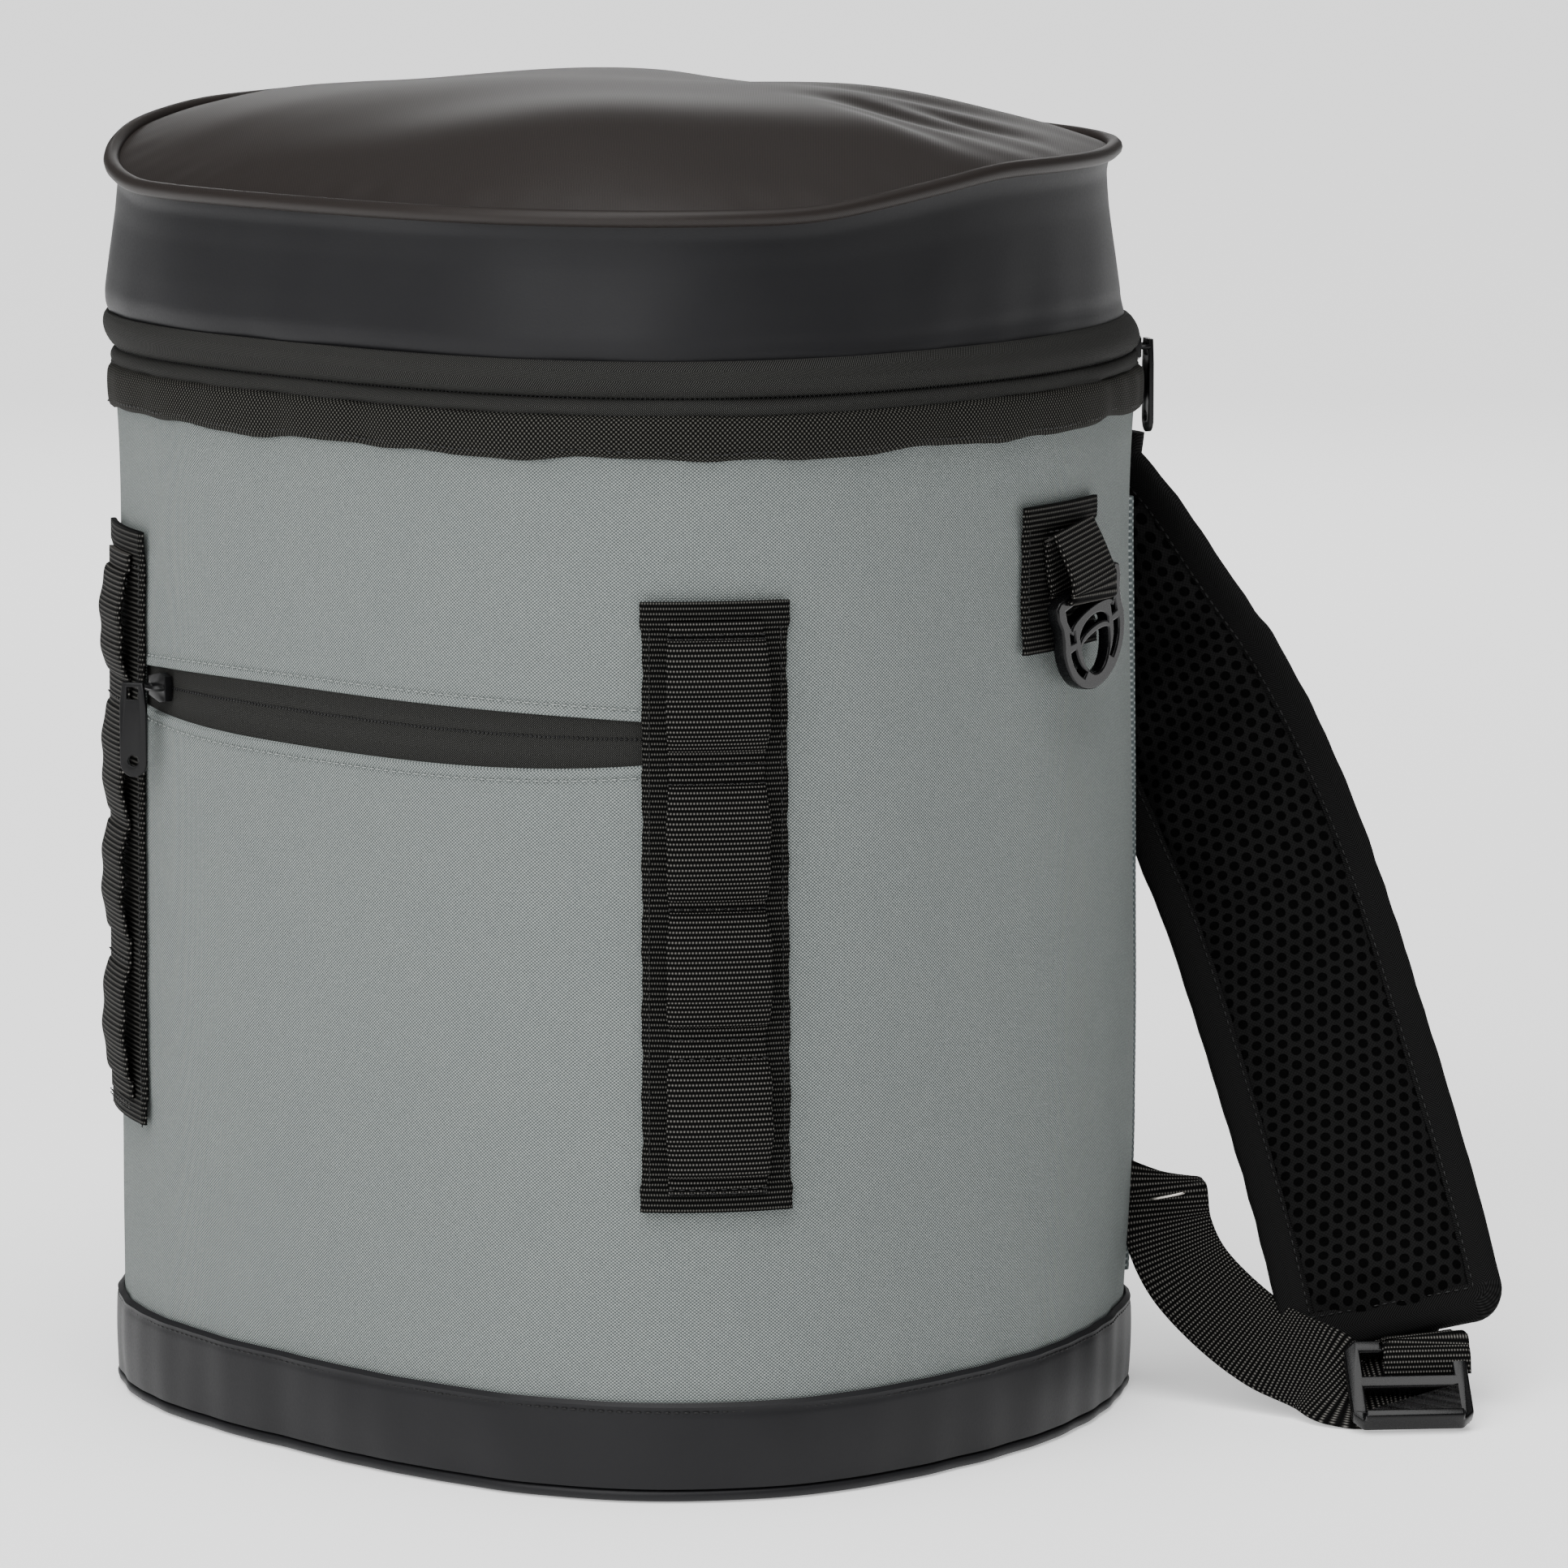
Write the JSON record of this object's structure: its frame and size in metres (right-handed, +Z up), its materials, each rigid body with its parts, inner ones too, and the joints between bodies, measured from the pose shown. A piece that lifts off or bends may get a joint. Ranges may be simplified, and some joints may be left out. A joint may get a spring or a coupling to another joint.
{
  "type": "cooler backpack",
  "caption": "Soft insulated cooler backpack with a domed zip-round lid, front pocket, side webbing ladders and padded shoulder straps, standing upright with its lid closed.",
  "frame": {"origin": "on the floor, at the middle of the base panel's underside, below the widest line of the D-shaped outline and midway between the two sides", "axes": "+Z up; -Y out of the curved front with the pocket; +Y out of the flat back with the shoulder straps; +X to the right as one looks at the front"},
  "size_m": [0.4393, 0.2962, 0.3599],
  "materials": {
    "grey_cloth": "plain-woven heather grey polyester, matt",
    "coated_cloth": "black coated cloth, satin",
    "lid_cloth": "black-brown twill, semi-matt",
    "webbing": "black woven webbing and tape, matt",
    "mesh_cloth": "black air mesh over foam, matt",
    "moulded_plastic": "black moulded acetal, satin",
    "zipper_teeth": "black nylon coil",
    "slider_metal": "black enamelled die-cast metal",
    "wire": "bright steel wire"
  },
  "bodies": {
    "root": {"body_shell": "grey_cloth", "back_seam_right": "grey_cloth", "back_seam_left": "grey_cloth", "base_panel": "coated_cloth", "base_piping": "coated_cloth", "base_band": "coated_cloth", "lid_band": "coated_cloth", "rim_piping": "lid_cloth", "lid_top": "lid_cloth", "binding_band": "webbing", "zipper_tape_lower": "webbing", "zipper_tape_upper": "webbing", "lid_hinge": "webbing", "pocket_tape": "webbing", "ladder_backing_right": "webbing", "ladder_webbing_right": "webbing", "ladder_backing_left": "webbing", "ladder_webbing_left": "webbing", "ring_patch_right": "webbing", "ring_tab_right": "webbing", "ring_patch_left": "webbing", "ring_tab_left": "webbing", "back_yoke": "webbing", "shoulder_binding_right": "webbing", "shoulder_tab_right": "webbing", "lower_webbing_right": "webbing", "shoulder_binding_left": "webbing", "shoulder_tab_left": "webbing", "lower_webbing_left": "webbing", "shoulder_pad_right": "mesh_cloth", "shoulder_pad_left": "mesh_cloth", "d_ring_right": "moulded_plastic", "d_ring_left": "moulded_plastic", "ladder_lock_right": "moulded_plastic", "ladder_lock_left": "moulded_plastic", "zipper_coil": "zipper_teeth", "pocket_coil": "zipper_teeth", "lid_slider_front": "slider_metal", "lid_pull_front": "slider_metal", "lid_slider_rear": "slider_metal", "lid_pull_rear": "slider_metal", "pocket_slider": "slider_metal", "pocket_pull": "slider_metal", "webbing_staple_right": "wire", "webbing_staple_left": "wire"}
  },
  "joints": []
}
